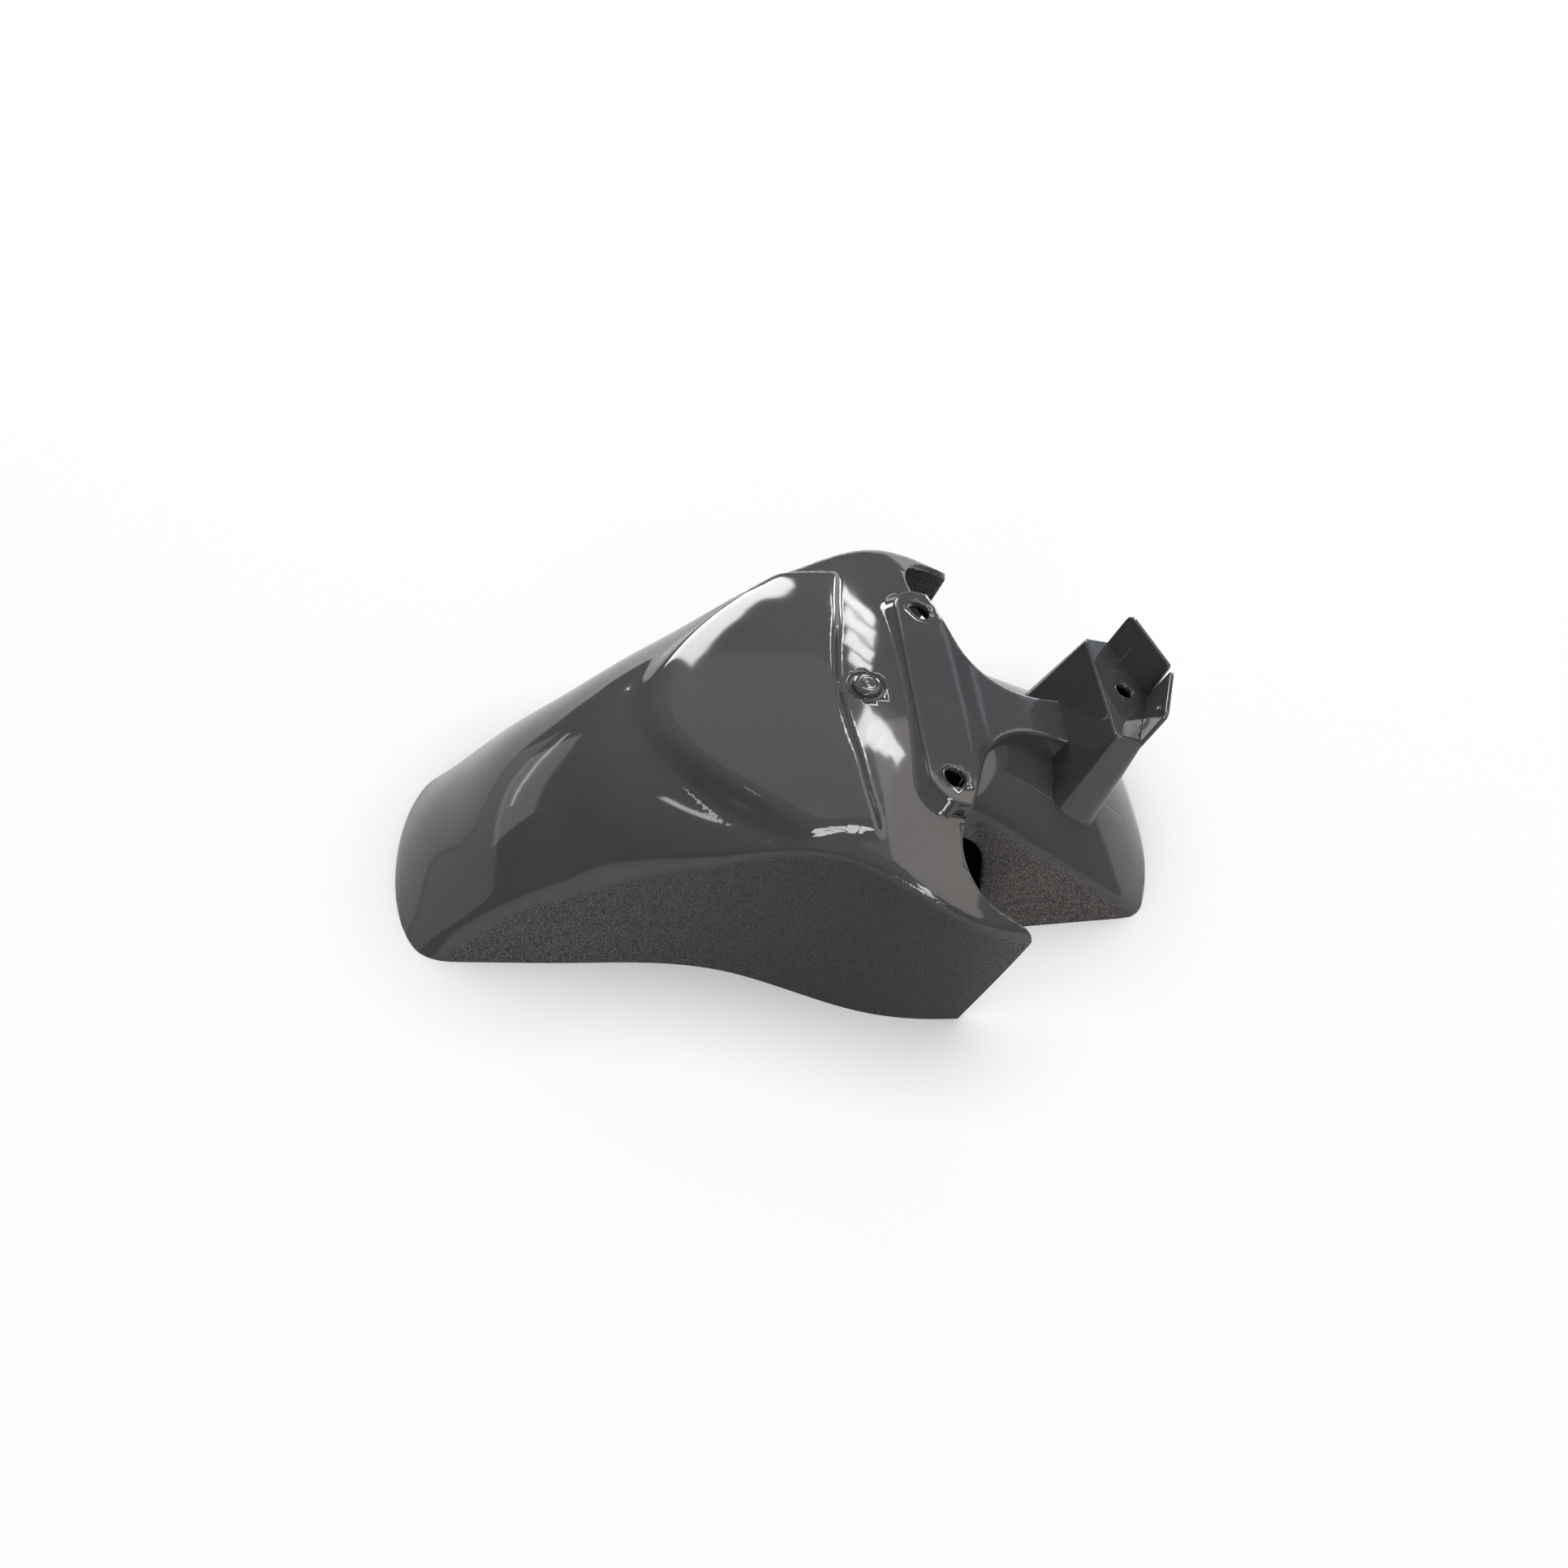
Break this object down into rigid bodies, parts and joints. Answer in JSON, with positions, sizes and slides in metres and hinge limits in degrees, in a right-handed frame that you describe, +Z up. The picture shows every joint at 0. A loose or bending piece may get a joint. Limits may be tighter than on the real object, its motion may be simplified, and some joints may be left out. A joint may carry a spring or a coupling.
{
  "type": "motor scooter front mudguard",
  "caption": "One-piece moulded mudguard arch with flared wings, raised hood panel, tilted mounting pad and hollow riser for the fork bolts.",
  "frame": {"origin": "on the rest plane, midway between nose and tail, in the mirror plane", "axes": "+X to the rear of the vehicle, +Y to its right, +Z up; the rims stand on z = 0"},
  "size_m": [0.4041, 0.2412, 0.125],
  "materials": {
    "moulded_shell": "dark grey, high gloss above, fine moulded grain on the skirts"
  },
  "bodies": {
    "root": {"mudguard": "moulded_shell"}
  },
  "joints": []
}
